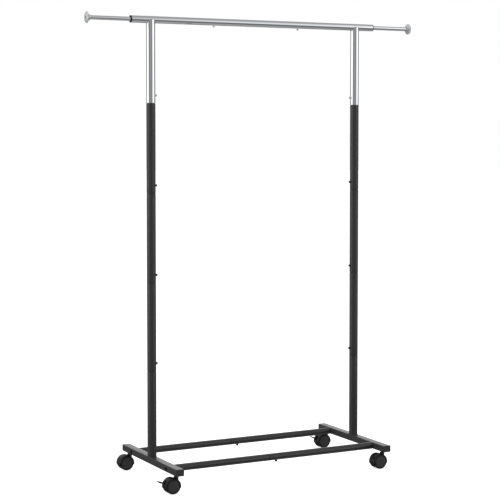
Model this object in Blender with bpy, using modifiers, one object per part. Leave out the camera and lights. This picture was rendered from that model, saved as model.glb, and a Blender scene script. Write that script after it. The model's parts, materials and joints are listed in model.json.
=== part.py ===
"""Rolling clothes rack: chrome rail with sliding rods on two plug-together posts, on a caster base.

Units are metres and +Z is up. X runs along the rail, Y along the feet, and Z = 0 is the floor.
The origin is on the floor under the middle of the rack. Each piece is one object.
"""

from math import cos, pi, radians, sin

import bpy

# Clearance between two pieces that touch in the real object.
GAP = 0.0003

# Top rail and its sliding rods.
RAIL_Z = 1.5215
RAIL_RADIUS = 0.012
RAIL_WALL = 0.0012
RAIL_HALF = 0.462
BUSH_FLANGE = 0.002
BUSH_DEPTH = 0.018
ROD_RADIUS = 0.007
ROD_WALL = 0.001
ROD_CLEARANCE = 0.0003
ROD_INNER_X = 0.147
ROD_OUTER_X = 0.609
RAIL_BUTTON_X = 0.160
DISC_RADIUS = 0.019
DISC_FACE_X = 0.6175
DISC_RIM = 0.0028
HUB_RADIUS = 0.0105
HUB_LENGTH = 0.006
SPIGOT_LENGTH = 0.014
DISC_DIMPLE_RADIUS = 0.0022

# Posts.
POST_X = 0.390
POST_RADIUS = 0.0151
POST_WALL = 0.0012
UPRIGHT_RADIUS = 0.0151
MALE_RADIUS = 0.0136
MALE_WALL = 0.0012
MALE_LENGTH = 0.050
SEAMS = (0.365, 0.658, 0.9535, 1.249)
BUTTON_RISE = 0.026
POST_STEPS = 20

# Snap buttons.
BUTTON_RADIUS = 0.0039
BUTTON_STAND = 0.0063
BUTTON_FLANGE_RADIUS = 0.0056
BUTTON_FLANGE = 0.0010
BUTTON_HOLE_RADIUS = 0.0043
BUTTON_STEPS = 12
RAIL_BUTTON_FLANGE_RADIUS = 0.0047
ROD_HOLE_RADIUS = 0.0051

# Feet.
FOOT_WIDTH = 0.028
FOOT_HEIGHT = 0.022
FOOT_HALF = 0.222
FOOT_TOP = 0.0815
FOOT_WALL = 0.0015
FOOT_EDGE = 0.0015
PLUG_CAP = 0.002
PLUG_DEPTH = 0.040
STEM_Y = 0.1905

# Crossbars.
BAR_Y = 0.143
BAR_RADIUS = 0.0115
BAR_DROP = 0.0010  # below the middle of the foot's height
BAR_WALL = 0.0012
BAR_SEAM_X = -0.030
BAR_MALE_RADIUS = 0.0099
BAR_MALE_END_X = 0.022
BAR_END_BLOCK = 0.018
BAR_STEPS = 20
BOLT_RADIUS = 0.003
BOLT_HOLE_RADIUS = 0.0034
BOLT_HEAD_RADIUS = 0.0055
BOLT_HEAD_HEIGHT = 0.0028
BOLT_REACH = 0.014
HEX_RADIUS = 0.0020

# Casters. Distances along X are from the stem's axis.
WHEEL_RADIUS = 0.025
TRAIL = 0.016
WHEEL_INNER_Y = 0.0050
WHEEL_OUTER_Y = 0.0180
AXLE_RADIUS = 0.0040
AXLE_CLEARANCE = 0.00005
AXLE_REACH_Y = 0.0130
WEB_HALF = 0.0042
WEB_INSET = 0.0006
WEB_LOW_RADIUS = 0.0100
WEB_LOW_ANGLES = (radians(225), radians(276), radians(328))
HOOD_OUTER = 0.0272
HOOD_INNER = 0.0258
HOOD_HALF = 0.0176
HOOD_FROM = radians(-14)
HOOD_TO = radians(196)
BOSS_RADIUS = 0.0078
BOSS_TOP = 0.0545
STEM_RADIUS = 0.004
COLLAR_RADIUS = 0.0052
STEM_BOTTOM = 0.0425
STEM_TOP = 0.0755
WHEEL_STEPS = 24
STEM_STEPS = 16

# Brake lever, in the caster's own place.
LEVER_PIVOT_X = -0.0335
LEVER_PIVOT_Z = 0.0350
LEVER_HUB_RADIUS = 0.0030
LEVER_HALF = 0.0034
WINDOW_HALF = 0.0048
LEVER_TILT = radians(12)
LEVER_REACH = 0.0300
PEDAL_HALF = 0.0090
PEDAL_LENGTH = 0.0150
PEDAL_THICK = 0.0040
BRAKED = (("left", "near"), ("right", "far"))

SIDES = {"left": -1, "right": 1}
ENDS = {"near": -1, "far": 1}


def clear_scene():
    for obj in list(bpy.data.objects):
        bpy.data.objects.remove(obj, do_unlink=True)


def new_collection(name):
    collection = bpy.data.collections.new(name)
    bpy.context.scene.collection.children.link(collection)
    return collection


clear_scene()
RACK = new_collection("clothes_rack")
CUTTERS = new_collection("cutters")
CUTTERS.hide_render = True


# Materials.


def material(name, colour, metallic, roughness):
    made = bpy.data.materials.new(name)
    made.use_nodes = True
    shader = made.node_tree.nodes["Principled BSDF"]
    shader.inputs["Base Color"].default_value = (*colour, 1.0)
    shader.inputs["Metallic"].default_value = metallic
    shader.inputs["Roughness"].default_value = roughness
    return made


def chrome():
    return material("chrome_plate", (0.78, 0.78, 0.79), 1.0, 0.10)


def powder_coat():
    return material("black_powder_coat", (0.030, 0.030, 0.031), 0.0, 0.42)


def silver_plastic():
    return material("silver_plastic", (0.62, 0.62, 0.63), 0.0, 0.35)


def black_plastic(name, roughness):
    return material(name, (0.022, 0.022, 0.023), 0.0, roughness)


def black_steel():
    return material("black_oxide_steel", (0.035, 0.035, 0.036), 1.0, 0.45)


CHROME = chrome()
COAT = powder_coat()
SILVER = silver_plastic()
BLACK_ABS = black_plastic("black_abs", 0.40)
NYLON = black_plastic("black_nylon", 0.50)
OXIDE = black_steel()


# Shapes.


def add_object(name, data, collection, finish=None):
    obj = bpy.data.objects.new(name, data)
    collection.objects.link(obj)
    if finish:
        data.materials.append(finish)
    return obj


def add_modifier(obj, name, kind, **settings):
    modifier = obj.modifiers.new(name, kind)
    for setting, value in settings.items():
        setattr(modifier, setting, value)
    return modifier


def turned(name, finish, profile, steps, collection=RACK):
    """A solid of revolution about Z. The profile of (radius, z) pairs runs down the outer side.

    A profile that starts and ends on the axis makes a solid piece, and any other is closed into a ring.
    """
    points = [(radius, 0.0, z) for radius, z in profile]
    count = len(points)
    solid = profile[0][0] == 0.0
    edges = [(i, (i + 1) % count) for i in range(count - 1 if solid else count)]
    mesh = bpy.data.meshes.new(name)
    mesh.from_pydata(points, edges, [])
    obj = add_object(name, mesh, collection, finish)
    add_modifier(
        obj,
        "Turn",
        "SCREW",
        axis="Z",
        angle=2 * pi,
        steps=steps,
        render_steps=steps,
        use_merge_vertices=True,
        merge_threshold=0.00002,
        use_smooth_shade=True,
    )
    add_modifier(obj, "Join", "WELD", merge_threshold=0.00002)
    return obj


def box(name, finish, low, high, collection=RACK, edge=0.0):
    """A box between two corners, centred on its own origin, with its edges rounded by `edge`."""
    centre = [(a + b) / 2 for a, b in zip(low, high)]
    x, y, z = [(b - a) / 2 for a, b in zip(low, high)]
    corners = [(i * x, j * y, k * z) for i in (-1, 1) for j in (-1, 1) for k in (-1, 1)]
    faces = [(0, 1, 3, 2), (4, 6, 7, 5), (0, 4, 5, 1), (2, 3, 7, 6), (0, 2, 6, 4), (1, 5, 7, 3)]
    mesh = bpy.data.meshes.new(name)
    mesh.from_pydata(corners, [], faces)
    obj = add_object(name, mesh, collection, finish)
    obj.location = centre
    if edge:
        add_modifier(obj, "Edges", "BEVEL", width=edge, segments=2, limit_method="ANGLE")
    return obj


def rod(name, radius, low, high, steps, collection=CUTTERS, finish=None):
    """A plain cylinder along Z between two heights."""
    profile = [(0.0, high), (radius, high), (radius, low), (0.0, low)]
    return turned(name, finish, profile, steps, collection)


def along_x(obj, direction, place):
    """Turns a piece built along Z so that its +Z points along X in the given direction."""
    obj.rotation_euler = (0.0, direction * pi / 2, 0.0)
    obj.location = place
    return obj


def along_y(obj, direction, place):
    """Turns a piece built along Z so that its +Z points along Y in the given direction."""
    obj.rotation_euler = (-direction * pi / 2, 0.0, 0.0)
    obj.location = place
    return obj


def as_cutter(obj):
    obj.hide_render = True
    obj.display_type = "WIRE"
    return obj


def cut(obj, cutter, operation="DIFFERENCE"):
    as_cutter(cutter)
    add_modifier(obj, operation.title(), "BOOLEAN", operation=operation, object=cutter, solver="EXACT")


def button_hole(obj, name, place, direction):
    """Cuts the round hole of a snap button. The direction is ("x" or "z", sign)."""
    cutter = rod(name, BUTTON_HOLE_RADIUS, 0.004, 0.030, BUTTON_STEPS)
    axis, sign = direction
    if axis == "x":
        along_x(cutter, sign, place)
    else:
        cutter.location = place
        cutter.rotation_euler = (pi if sign < 0 else 0.0, 0.0, 0.0)
    cut(obj, cutter)


# Pieces of the top rail.


def make_rail():
    inner = RAIL_RADIUS - RAIL_WALL
    half = RAIL_HALF - BUSH_FLANGE - GAP
    profile = [(RAIL_RADIUS, half), (RAIL_RADIUS, -half), (inner, -half), (inner, half)]
    rail = along_x(turned("top_rail", CHROME, profile, POST_STEPS), 1, (0.0, 0.0, RAIL_Z))
    for side, sign in SIDES.items():
        button_hole(rail, f"cut_rail_{side}", (sign * RAIL_BUTTON_X, 0.0, RAIL_Z), ("z", -1))


def make_bush(side, sign):
    """Plastic ring in the rail's mouth that guides the rod."""
    sleeve = RAIL_RADIUS - RAIL_WALL - GAP
    bore = ROD_RADIUS + ROD_CLEARANCE
    profile = [
        (RAIL_RADIUS - 0.0006, 0.0),
        (RAIL_RADIUS, -0.0006),
        (RAIL_RADIUS, -BUSH_FLANGE),
        (sleeve, -BUSH_FLANGE),
        (sleeve, -BUSH_DEPTH),
        (bore, -BUSH_DEPTH),
        (bore, 0.0),
    ]
    bush = turned(f"rail_bush_{side}", BLACK_ABS, profile, POST_STEPS)
    along_x(bush, sign, (sign * RAIL_HALF, 0.0, RAIL_Z))


def make_rod(side, sign):
    inner = ROD_RADIUS - ROD_WALL
    length = ROD_OUTER_X - ROD_INNER_X
    profile = [(ROD_RADIUS, 0.0), (ROD_RADIUS, -length), (inner, -length), (inner, 0.0)]
    tube = turned(f"extension_rod_{side}", CHROME, profile, POST_STEPS)
    along_x(tube, sign, (sign * ROD_OUTER_X, 0.0, RAIL_Z))
    hole = rod(f"cut_rod_{side}", ROD_HOLE_RADIUS, 0.0005, 0.0200, BUTTON_STEPS)
    hole.location = (sign * RAIL_BUTTON_X, 0.0, RAIL_Z)
    hole.rotation_euler = (pi, 0.0, 0.0)
    cut(tube, hole)


def make_disc(side, sign):
    """Domed disc with a hub over the rod's end and a spigot inside it."""
    spigot = ROD_RADIUS - ROD_WALL - GAP
    rim_back = -0.0036
    hub_back = ROD_OUTER_X - DISC_FACE_X - HUB_LENGTH
    seat = ROD_OUTER_X - DISC_FACE_X + GAP
    profile = [
        (0.0, -0.0014),
        (DISC_DIMPLE_RADIUS, -0.0014),
        (DISC_DIMPLE_RADIUS, -0.0002),
        (0.0110, -0.0008),
        (0.0175, -0.0022),
        (DISC_RADIUS, -0.0036),
        (DISC_RADIUS, rim_back - DISC_RIM + 0.0010),
        (DISC_RADIUS - 0.0012, rim_back - DISC_RIM),
        (HUB_RADIUS, rim_back - DISC_RIM),
        (HUB_RADIUS, hub_back),
        (ROD_RADIUS + GAP, hub_back),
        (ROD_RADIUS + GAP, seat),
        (spigot, seat),
        (spigot, seat - SPIGOT_LENGTH),
        (0.0, seat - SPIGOT_LENGTH),
    ]
    disc = turned(f"end_disc_{side}", SILVER, profile, POST_STEPS)
    along_x(disc, sign, (sign * DISC_FACE_X, 0.0, RAIL_Z))


# Snap buttons.


def make_button(
    name, outer_radius, wall_inside, place, direction, flange=BUTTON_FLANGE_RADIUS, finish=NYLON
):
    """A domed button whose flange stays behind a round wall. It stands out of a tube of outer_radius."""
    tip = outer_radius + BUTTON_STAND
    neck = ((wall_inside * cos(pi / POST_STEPS)) ** 2 - flange**2) ** 0.5 - GAP
    foot = neck - BUTTON_FLANGE
    profile = [
        (0.0, tip),
        (BUTTON_RADIUS * 0.55, tip - 0.0006),
        (BUTTON_RADIUS * 0.90, tip - 0.0020),
        (BUTTON_RADIUS, tip - 0.0038),
        (BUTTON_RADIUS, neck),
        (flange, neck),
        (flange, foot),
        (0.0, foot),
    ]
    button = turned(name, finish, profile, BUTTON_STEPS)
    axis, sign = direction
    if axis == "x":
        return along_x(button, sign, place)
    button.location = place
    button.rotation_euler = (pi if sign < 0 else 0.0, 0.0, 0.0)
    return button


def make_post_buttons(side, sign):
    for level, seam in enumerate(SEAMS, start=1):
        outer, finish = (UPRIGHT_RADIUS, CHROME) if seam == SEAMS[-1] else (POST_RADIUS, NYLON)
        place = (sign * POST_X, 0.0, seam + BUTTON_RISE)
        inside = MALE_RADIUS - MALE_WALL
        make_button(f"post_button_{side}_{level}", outer, inside, place, ("x", -sign), finish=finish)


def make_bar_button(end, y_sign):
    place = (0.0, y_sign * BAR_Y, BAR_Z)
    make_button(f"bar_button_{end}", BAR_RADIUS, BAR_MALE_RADIUS - BAR_WALL, place, ("z", -1))


def make_rail_button(side, sign):
    """Button that locks a drawn-out rod. Its flange is small enough to press into the rod's own hole."""
    place = (sign * RAIL_BUTTON_X, 0.0, RAIL_Z)
    inside = RAIL_RADIUS - RAIL_WALL
    flange = RAIL_BUTTON_FLANGE_RADIUS
    make_button(f"rail_button_{side}", RAIL_RADIUS, inside, place, ("z", -1), flange, CHROME)


# Posts.


def tube_with_male_end(bottom, seam):
    """Profile of a post tube from `bottom` up to `seam`, narrowed above it to plug into the next tube."""
    male_inner = MALE_RADIUS - MALE_WALL
    inner = POST_RADIUS - POST_WALL
    top = seam + MALE_LENGTH
    return [
        (MALE_RADIUS, top),
        (MALE_RADIUS, seam - 0.0006),
        (POST_RADIUS, seam - 0.0030),
        (POST_RADIUS, bottom),
        (inner, bottom),
        (inner, seam - 0.0042),
        (male_inner, seam - 0.0018),
        (male_inner, top),
    ]


def make_post_tubes(side, sign):
    """The three plug-in tubes between the foot's stub and the chrome upright."""
    place = (sign * POST_X, 0.0, 0.0)
    for level, (low, high) in enumerate(zip(SEAMS[:-1], SEAMS[1:]), start=1):
        profile = tube_with_male_end(low + GAP, high)
        tube = turned(f"post_tube_{side}_{level}", COAT, profile, POST_STEPS)
        tube.location = place
        for name, height in (("low", low), ("high", high)):
            hole = (place[0], 0.0, height + BUTTON_RISE)
            button_hole(tube, f"cut_tube_{side}_{level}_{name}", hole, ("x", -sign))


def make_upright(side, sign):
    """Chrome top tube of a post, notched to fit round the rail."""
    bottom = SEAMS[-1] + GAP
    inner = MALE_RADIUS + GAP
    profile = [(UPRIGHT_RADIUS, RAIL_Z), (UPRIGHT_RADIUS, bottom), (inner, bottom), (inner, RAIL_Z)]
    upright = turned(f"chrome_upright_{side}", CHROME, profile, POST_STEPS)
    upright.location = (sign * POST_X, 0.0, 0.0)
    hole = (sign * POST_X, 0.0, SEAMS[-1] + BUTTON_RISE)
    button_hole(upright, f"cut_upright_{side}", hole, ("x", -sign))
    saddle = rod(f"cut_saddle_{side}", RAIL_RADIUS + GAP, -0.03, 0.03, POST_STEPS)
    along_x(saddle, 1, (sign * POST_X, 0.0, RAIL_Z))
    cut(upright, saddle)


# Feet.


BAR_Z = FOOT_TOP - FOOT_HEIGHT / 2 - BAR_DROP


def make_foot(side, sign):
    """Box tube with the post's stub welded on top."""
    x = sign * POST_X
    half = FOOT_HALF - PLUG_CAP - GAP
    width = FOOT_WIDTH / 2
    bottom = FOOT_TOP - FOOT_HEIGHT
    foot = box(
        f"foot_{side}", COAT, (x - width, -half, bottom), (x + width, half, FOOT_TOP), edge=FOOT_EDGE
    )
    inside = width - FOOT_WALL
    hollow = box(
        f"cut_foot_{side}",
        None,
        (x - inside, -0.25, bottom + FOOT_WALL),
        (x + inside, 0.25, FOOT_TOP - FOOT_WALL),
        CUTTERS,
    )
    stub_bottom = FOOT_TOP - FOOT_WALL / 2
    stub = turned(
        f"join_stub_{side}", None, tube_with_male_end(stub_bottom, SEAMS[0]), POST_STEPS, CUTTERS
    )
    stub.location = (x, 0.0, 0.0)
    cut(foot, stub, "UNION")
    cut(foot, hollow)
    button_hole(foot, f"cut_stub_{side}", (x, 0.0, SEAMS[0] + BUTTON_RISE), ("x", -sign))
    for end, y_sign in ENDS.items():
        bolt_way = rod(f"cut_bolt_{side}_{end}", BOLT_HOLE_RADIUS, -0.02, 0.02, 12)
        along_x(bolt_way, 1, (x, y_sign * BAR_Y, BAR_Z))
        cut(foot, bolt_way)
        stem_way = rod(f"cut_stem_{side}_{end}", COLLAR_RADIUS + GAP, bottom - 0.01, bottom + 0.01, 16)
        stem_way.location = (x, y_sign * STEM_Y, 0.0)
        cut(foot, stem_way)


def make_plug(side, sign, end, y_sign):
    """End plug of a foot, with the socket that holds the caster's stem."""
    x = sign * POST_X
    bottom = FOOT_TOP - FOOT_HEIGHT
    width = FOOT_WIDTH / 2
    inset = FOOT_WALL + GAP
    faces = sorted((y_sign * FOOT_HALF, y_sign * (FOOT_HALF - PLUG_CAP)))
    plug = box(
        f"foot_plug_{side}_{end}",
        BLACK_ABS,
        (x - width, faces[0], bottom),
        (x + width, faces[1], FOOT_TOP),
        edge=0.0007,
    )
    sides = sorted((y_sign * (FOOT_HALF - PLUG_CAP / 2), y_sign * (FOOT_HALF - PLUG_DEPTH)))
    body = box(
        f"join_plug_{side}_{end}",
        None,
        (x - width + inset, sides[0], bottom + inset),
        (x + width - inset, sides[1], FOOT_TOP - inset),
        CUTTERS,
    )
    cut(plug, body, "UNION")
    socket = rod(f"cut_socket_{side}_{end}", STEM_RADIUS + GAP, bottom - 0.01, STEM_TOP + GAP, 16)
    socket.location = (x, y_sign * STEM_Y, 0.0)
    cut(plug, socket)
    relief = rod(f"cut_relief_{side}_{end}", COLLAR_RADIUS + GAP, bottom - 0.01, bottom + 0.003, 16)
    relief.location = (x, y_sign * STEM_Y, 0.0)
    cut(plug, relief)


# Crossbars.


def make_bar_halves(end, y_sign):
    """Two tubes that plug together near the middle. The left one carries the male end."""
    inner = BAR_RADIUS - BAR_WALL
    male_inner = BAR_MALE_RADIUS - BAR_WALL
    foot_face = POST_X - FOOT_WIDTH / 2 - GAP
    place = (0.0, y_sign * BAR_Y, BAR_Z)
    left_profile = [
        (BAR_MALE_RADIUS, BAR_MALE_END_X),
        (BAR_MALE_RADIUS, BAR_SEAM_X - 0.0006),
        (BAR_RADIUS, BAR_SEAM_X - 0.0024),
        (BAR_RADIUS, -foot_face),
        (BOLT_HOLE_RADIUS, -foot_face),
        (BOLT_HOLE_RADIUS, BAR_END_BLOCK - foot_face),
        (inner, BAR_END_BLOCK - foot_face),
        (inner, BAR_SEAM_X - 0.0036),
        (male_inner, BAR_SEAM_X - 0.0018),
        (male_inner, BAR_MALE_END_X),
    ]
    right_profile = [
        (BAR_RADIUS, foot_face),
        (BAR_RADIUS, BAR_SEAM_X + GAP),
        (inner, BAR_SEAM_X + GAP),
        (inner, foot_face - BAR_END_BLOCK),
        (BOLT_HOLE_RADIUS, foot_face - BAR_END_BLOCK),
        (BOLT_HOLE_RADIUS, foot_face),
    ]
    for side, profile in (("left", left_profile), ("right", right_profile)):
        half = turned(f"crossbar_{end}_{side}", COAT, profile, BAR_STEPS)
        along_x(half, 1, place)
        button_hole(half, f"cut_bar_{end}_{side}", place, ("z", -1))


def make_bolt(side, sign, end, y_sign):
    """Button-head bolt that holds a crossbar to a foot, with its head on the foot's outer side."""
    profile = [
        (0.0, BOLT_HEAD_HEIGHT),
        (BOLT_HEAD_RADIUS * 0.70, BOLT_HEAD_HEIGHT),
        (BOLT_HEAD_RADIUS, BOLT_HEAD_HEIGHT * 0.35),
        (BOLT_HEAD_RADIUS, 0.0),
        (BOLT_RADIUS, 0.0),
        (BOLT_RADIUS, -FOOT_WIDTH - BOLT_REACH),
        (0.0, -FOOT_WIDTH - BOLT_REACH),
    ]
    place = (sign * (POST_X + FOOT_WIDTH / 2 + GAP), y_sign * BAR_Y, BAR_Z)
    bolt = along_x(turned(f"bar_bolt_{side}_{end}", OXIDE, profile, 16), sign, place)
    key = rod(f"cut_key_{side}_{end}", HEX_RADIUS, 0.0010, 0.01, 6)
    along_x(key, sign, place)
    cut(bolt, key)


# Casters.


def make_stem(side, sign, end, y_sign):
    """Caster pin with a collar under the foot. Its top is in the plug and its bottom in the hood."""
    bottom = FOOT_TOP - FOOT_HEIGHT
    profile = [
        (0.0, STEM_TOP),
        (STEM_RADIUS - 0.0006, STEM_TOP),
        (STEM_RADIUS, STEM_TOP - 0.0006),
        (STEM_RADIUS, bottom + 0.0014),
        (COLLAR_RADIUS, bottom + 0.0014),
        (COLLAR_RADIUS, BOSS_TOP + GAP),
        (STEM_RADIUS, BOSS_TOP + GAP),
        (STEM_RADIUS, STEM_BOTTOM),
        (0.0, STEM_BOTTOM),
    ]
    stem = turned(f"caster_stem_{side}_{end}", OXIDE, profile, STEM_STEPS)
    stem.location = (sign * POST_X, y_sign * STEM_Y, 0.0)


def arc_outline(outer, inner, start, stop, steps):
    """Outline of a ring segment in (x, z), outer arc first."""
    angles = [start + (stop - start) * i / steps for i in range(steps + 1)]
    outside = [(outer * cos(a), outer * sin(a)) for a in angles]
    inside = [(inner * cos(a), inner * sin(a)) for a in reversed(angles)]
    return outside + inside


def web_outline():
    """Outline of the hood's web: just inside the arched cover, and drawn in below round the axle."""
    inset = WEB_INSET / HOOD_OUTER
    cover = arc_outline(HOOD_OUTER - WEB_INSET, 0.0, HOOD_FROM + inset, HOOD_TO - inset, 18)[:19]
    return cover + [(WEB_LOW_RADIUS * cos(a), WEB_LOW_RADIUS * sin(a)) for a in WEB_LOW_ANGLES]


def slab(name, finish, outline, half_width, collection=RACK):
    """A flat outline in (x, z), drawn counter-clockwise as seen from -Y, with a thickness along Y."""
    count = len(outline)
    points = [(x, y, z) for y in (-half_width, half_width) for x, z in outline]
    faces = [tuple(range(count)), tuple(reversed(range(count, 2 * count)))]
    faces += [(i, i + count, (i + 1) % count + count, (i + 1) % count) for i in range(count)]
    mesh = bpy.data.meshes.new(name)
    mesh.from_pydata(points, [], faces)
    return add_object(name, mesh, collection, finish)


def make_hood(side, sign, end, y_sign, braked):
    """Caster housing: an arched cover over both wheels, a web between them, the stem's boss and the axle."""
    tag = f"{side}_{end}"
    stem = (sign * POST_X, y_sign * STEM_Y, 0.0)
    axle = (stem[0] - TRAIL, stem[1], WHEEL_RADIUS)
    hood = slab(
        f"caster_hood_{tag}",
        BLACK_ABS,
        arc_outline(HOOD_OUTER, HOOD_INNER, HOOD_FROM, HOOD_TO, 18),
        HOOD_HALF,
    )
    hood.location = axle
    web = slab(f"join_web_{tag}", None, web_outline(), WEB_HALF, CUTTERS)
    web.location = axle
    cut(hood, web, "UNION")
    boss = rod(f"join_boss_{tag}", BOSS_RADIUS, 0.0400, BOSS_TOP, STEM_STEPS)
    boss.location = stem
    cut(hood, boss, "UNION")
    for face, direction in (("front", -1), ("back", 1)):
        room = rod(f"cut_room_{tag}_{face}", HOOD_INNER - 0.0002, WEB_HALF + 0.0002, 0.0300, WHEEL_STEPS)
        cut(hood, along_y(room, direction, axle))
    pin = rod(f"join_axle_{tag}", AXLE_RADIUS, -AXLE_REACH_Y, AXLE_REACH_Y, WHEEL_STEPS)
    cut(hood, along_y(pin, 1, axle), "UNION")
    socket = rod(f"cut_stem_way_{tag}", STEM_RADIUS + GAP, STEM_BOTTOM - GAP, 0.0600, STEM_STEPS)
    socket.location = stem
    cut(hood, socket)
    if braked:
        cut_lever_slot(hood, tag, stem)


def cut_lever_slot(hood, tag, stem):
    """Window in the hood for the brake lever, and the round seat of its hub in the web."""
    x = stem[0] + LEVER_PIVOT_X
    window = box(
        f"cut_window_{tag}",
        None,
        (x - 0.020, stem[1] - WINDOW_HALF, LEVER_PIVOT_Z - 0.0050),
        (x - 0.001, stem[1] + WINDOW_HALF, LEVER_PIVOT_Z + 0.0085),
        CUTTERS,
    )
    cut(hood, window)
    seat = rod(f"cut_seat_{tag}", LEVER_HUB_RADIUS + GAP, -0.01, 0.01, STEM_STEPS)
    along_y(seat, 1, (x, stem[1], LEVER_PIVOT_Z))
    cut(hood, seat)


def make_lever(side, sign, end, y_sign):
    """Brake lever: a round hub in the web, an arm through the hood and a pedal outside."""
    tag = f"{side}_{end}"
    pivot = (sign * POST_X + LEVER_PIVOT_X, y_sign * STEM_Y, LEVER_PIVOT_Z)
    profile = [
        (0.0, LEVER_HALF),
        (LEVER_HUB_RADIUS, LEVER_HALF),
        (LEVER_HUB_RADIUS, -LEVER_HALF),
        (0.0, -LEVER_HALF),
    ]
    lever = along_y(turned(f"brake_lever_{tag}", BLACK_ABS, profile, STEM_STEPS), 1, pivot)
    arm = box(
        f"join_arm_{tag}",
        None,
        (pivot[0] - LEVER_REACH + 0.004, pivot[1] - LEVER_HALF, pivot[2] - 0.0014),
        (pivot[0], pivot[1] + LEVER_HALF, pivot[2] + 0.0014),
        CUTTERS,
    )
    pedal = box(
        f"join_pedal_{tag}",
        None,
        (pivot[0] - LEVER_REACH, pivot[1] - PEDAL_HALF, pivot[2] - PEDAL_THICK / 2),
        (pivot[0] - LEVER_REACH + PEDAL_LENGTH, pivot[1] + PEDAL_HALF, pivot[2] + PEDAL_THICK / 2),
        CUTTERS,
        edge=0.0008,
    )
    for piece in (arm, pedal):
        tilt_about(piece, pivot, LEVER_TILT)
        cut(lever, piece, "UNION")


def tilt_about(obj, pivot, angle):
    """Turns a piece about a pivot along Y, so that its -X end rises by `angle`."""
    x = obj.location.x - pivot[0]
    z = obj.location.z - pivot[2]
    obj.location.x = pivot[0] + x * cos(angle) + z * sin(angle)
    obj.location.z = pivot[2] - x * sin(angle) + z * cos(angle)
    obj.rotation_euler = (0.0, angle, 0.0)


def make_wheel(side, sign, end, y_sign, face, direction):
    """Wheel with a rounded tread, a dished outer face and a domed centre. Its bore runs on the axle."""
    width = WHEEL_OUTER_Y - WHEEL_INNER_Y
    bore = AXLE_RADIUS + AXLE_CLEARANCE
    seat = AXLE_REACH_Y - WHEEL_INNER_Y + GAP
    profile = [
        (0.0, width - 0.0006),
        (0.0070, width - 0.0014),
        (0.0180, width - 0.0016),
        (0.0195, width),
        (0.0225, width),
        (WHEEL_RADIUS, width - 0.0025),
        (WHEEL_RADIUS, 0.0015),
        (WHEEL_RADIUS - 0.0015, 0.0),
        (bore, 0.0),
        (bore, seat),
        (0.0, seat),
    ]
    wheel = turned(f"wheel_{side}_{end}_{face}", NYLON, profile, WHEEL_STEPS)
    place = (sign * POST_X - TRAIL, y_sign * STEM_Y + direction * WHEEL_INNER_Y, WHEEL_RADIUS)
    along_y(wheel, direction, place)


# Assembly.


def make_side(side, sign):
    make_bush(side, sign)
    make_rod(side, sign)
    make_disc(side, sign)
    make_rail_button(side, sign)
    make_upright(side, sign)
    make_post_tubes(side, sign)
    make_post_buttons(side, sign)
    make_foot(side, sign)


def make_corner(side, sign, end, y_sign):
    braked = (side, end) in BRAKED
    make_plug(side, sign, end, y_sign)
    make_bolt(side, sign, end, y_sign)
    make_stem(side, sign, end, y_sign)
    make_hood(side, sign, end, y_sign, braked)
    make_wheel(side, sign, end, y_sign, "front", -1)
    make_wheel(side, sign, end, y_sign, "back", 1)
    if braked:
        make_lever(side, sign, end, y_sign)


def main():
    make_rail()
    for side, sign in SIDES.items():
        make_side(side, sign)
        for end, y_sign in ENDS.items():
            make_corner(side, sign, end, y_sign)
    for end, y_sign in ENDS.items():
        make_bar_halves(end, y_sign)
        make_bar_button(end, y_sign)


main()
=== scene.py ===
"""Finished look of a rolling clothes rack, built round its fixed frame.

The frame gives every place and every main size. Each visible part is made again here as a smooth
numpy surface with its own finish, and rides on the frame's body that it belongs to. Units are metres,
X runs along the rail, Y along the feet and Z is up.
"""

import json
import math

import bpy
import numpy as np
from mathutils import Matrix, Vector


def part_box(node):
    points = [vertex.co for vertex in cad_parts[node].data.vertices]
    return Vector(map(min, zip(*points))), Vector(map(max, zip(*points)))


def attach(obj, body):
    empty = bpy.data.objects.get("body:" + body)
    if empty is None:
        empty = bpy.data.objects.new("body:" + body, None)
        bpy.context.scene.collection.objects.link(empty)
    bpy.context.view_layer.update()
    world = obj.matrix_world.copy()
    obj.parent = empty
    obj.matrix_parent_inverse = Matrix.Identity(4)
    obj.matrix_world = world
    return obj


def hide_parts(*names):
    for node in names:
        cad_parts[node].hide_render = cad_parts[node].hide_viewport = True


bl_info = {
    "name": "Rolling clothes rack",
    "version": (1, 0, 0),
    "blender": (4, 5, 0),
    "location": "3D View > Sidebar > Rack",
    "description": "Builds the finished look of a rolling clothes rack round its frame",
    "category": "Add Mesh",
}

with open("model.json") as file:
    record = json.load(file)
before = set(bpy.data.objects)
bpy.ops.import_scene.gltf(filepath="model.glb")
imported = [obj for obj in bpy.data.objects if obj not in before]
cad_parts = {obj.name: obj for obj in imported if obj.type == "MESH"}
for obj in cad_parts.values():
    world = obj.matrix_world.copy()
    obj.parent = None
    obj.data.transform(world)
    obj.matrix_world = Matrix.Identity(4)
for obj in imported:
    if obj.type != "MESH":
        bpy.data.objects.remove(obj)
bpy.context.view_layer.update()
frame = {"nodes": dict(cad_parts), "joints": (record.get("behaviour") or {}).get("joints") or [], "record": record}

MM = 0.001
SIDES = {"left": -1, "right": 1}
ENDS = {"near": -1, "far": 1}
FACES = {"front": -1, "back": 1}
BODY_OF = {node: body for body, nodes in frame["record"]["behaviour"]["bodies"].items() for node in nodes}
SLOT_OF = {part["node"]: part["material_slot"] for part in frame["record"]["subparts"]}
JOINT_AT = {joint["name"]: joint.get("pos_m") for joint in frame["joints"]}

# Turns that carry a shape built along +Z onto another axis, as rows of a matrix.
TURNS = {
    "+z": np.eye(3),
    "-z": np.array([[1, 0, 0], [0, -1, 0], [0, 0, -1]]),
    "+x": np.array([[0, 0, 1], [0, 1, 0], [-1, 0, 0]]),
    "-x": np.array([[0, 0, -1], [0, 1, 0], [1, 0, 0]]),
    "+y": np.array([[1, 0, 0], [0, 0, 1], [0, -1, 0]]),
    "-y": np.array([[1, 0, 0], [0, 0, -1], [0, 1, 0]]),
}


def signed(axis, sign):
    """Key of TURNS for an axis letter and a sign."""
    return ("+" if sign > 0 else "-") + axis


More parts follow.
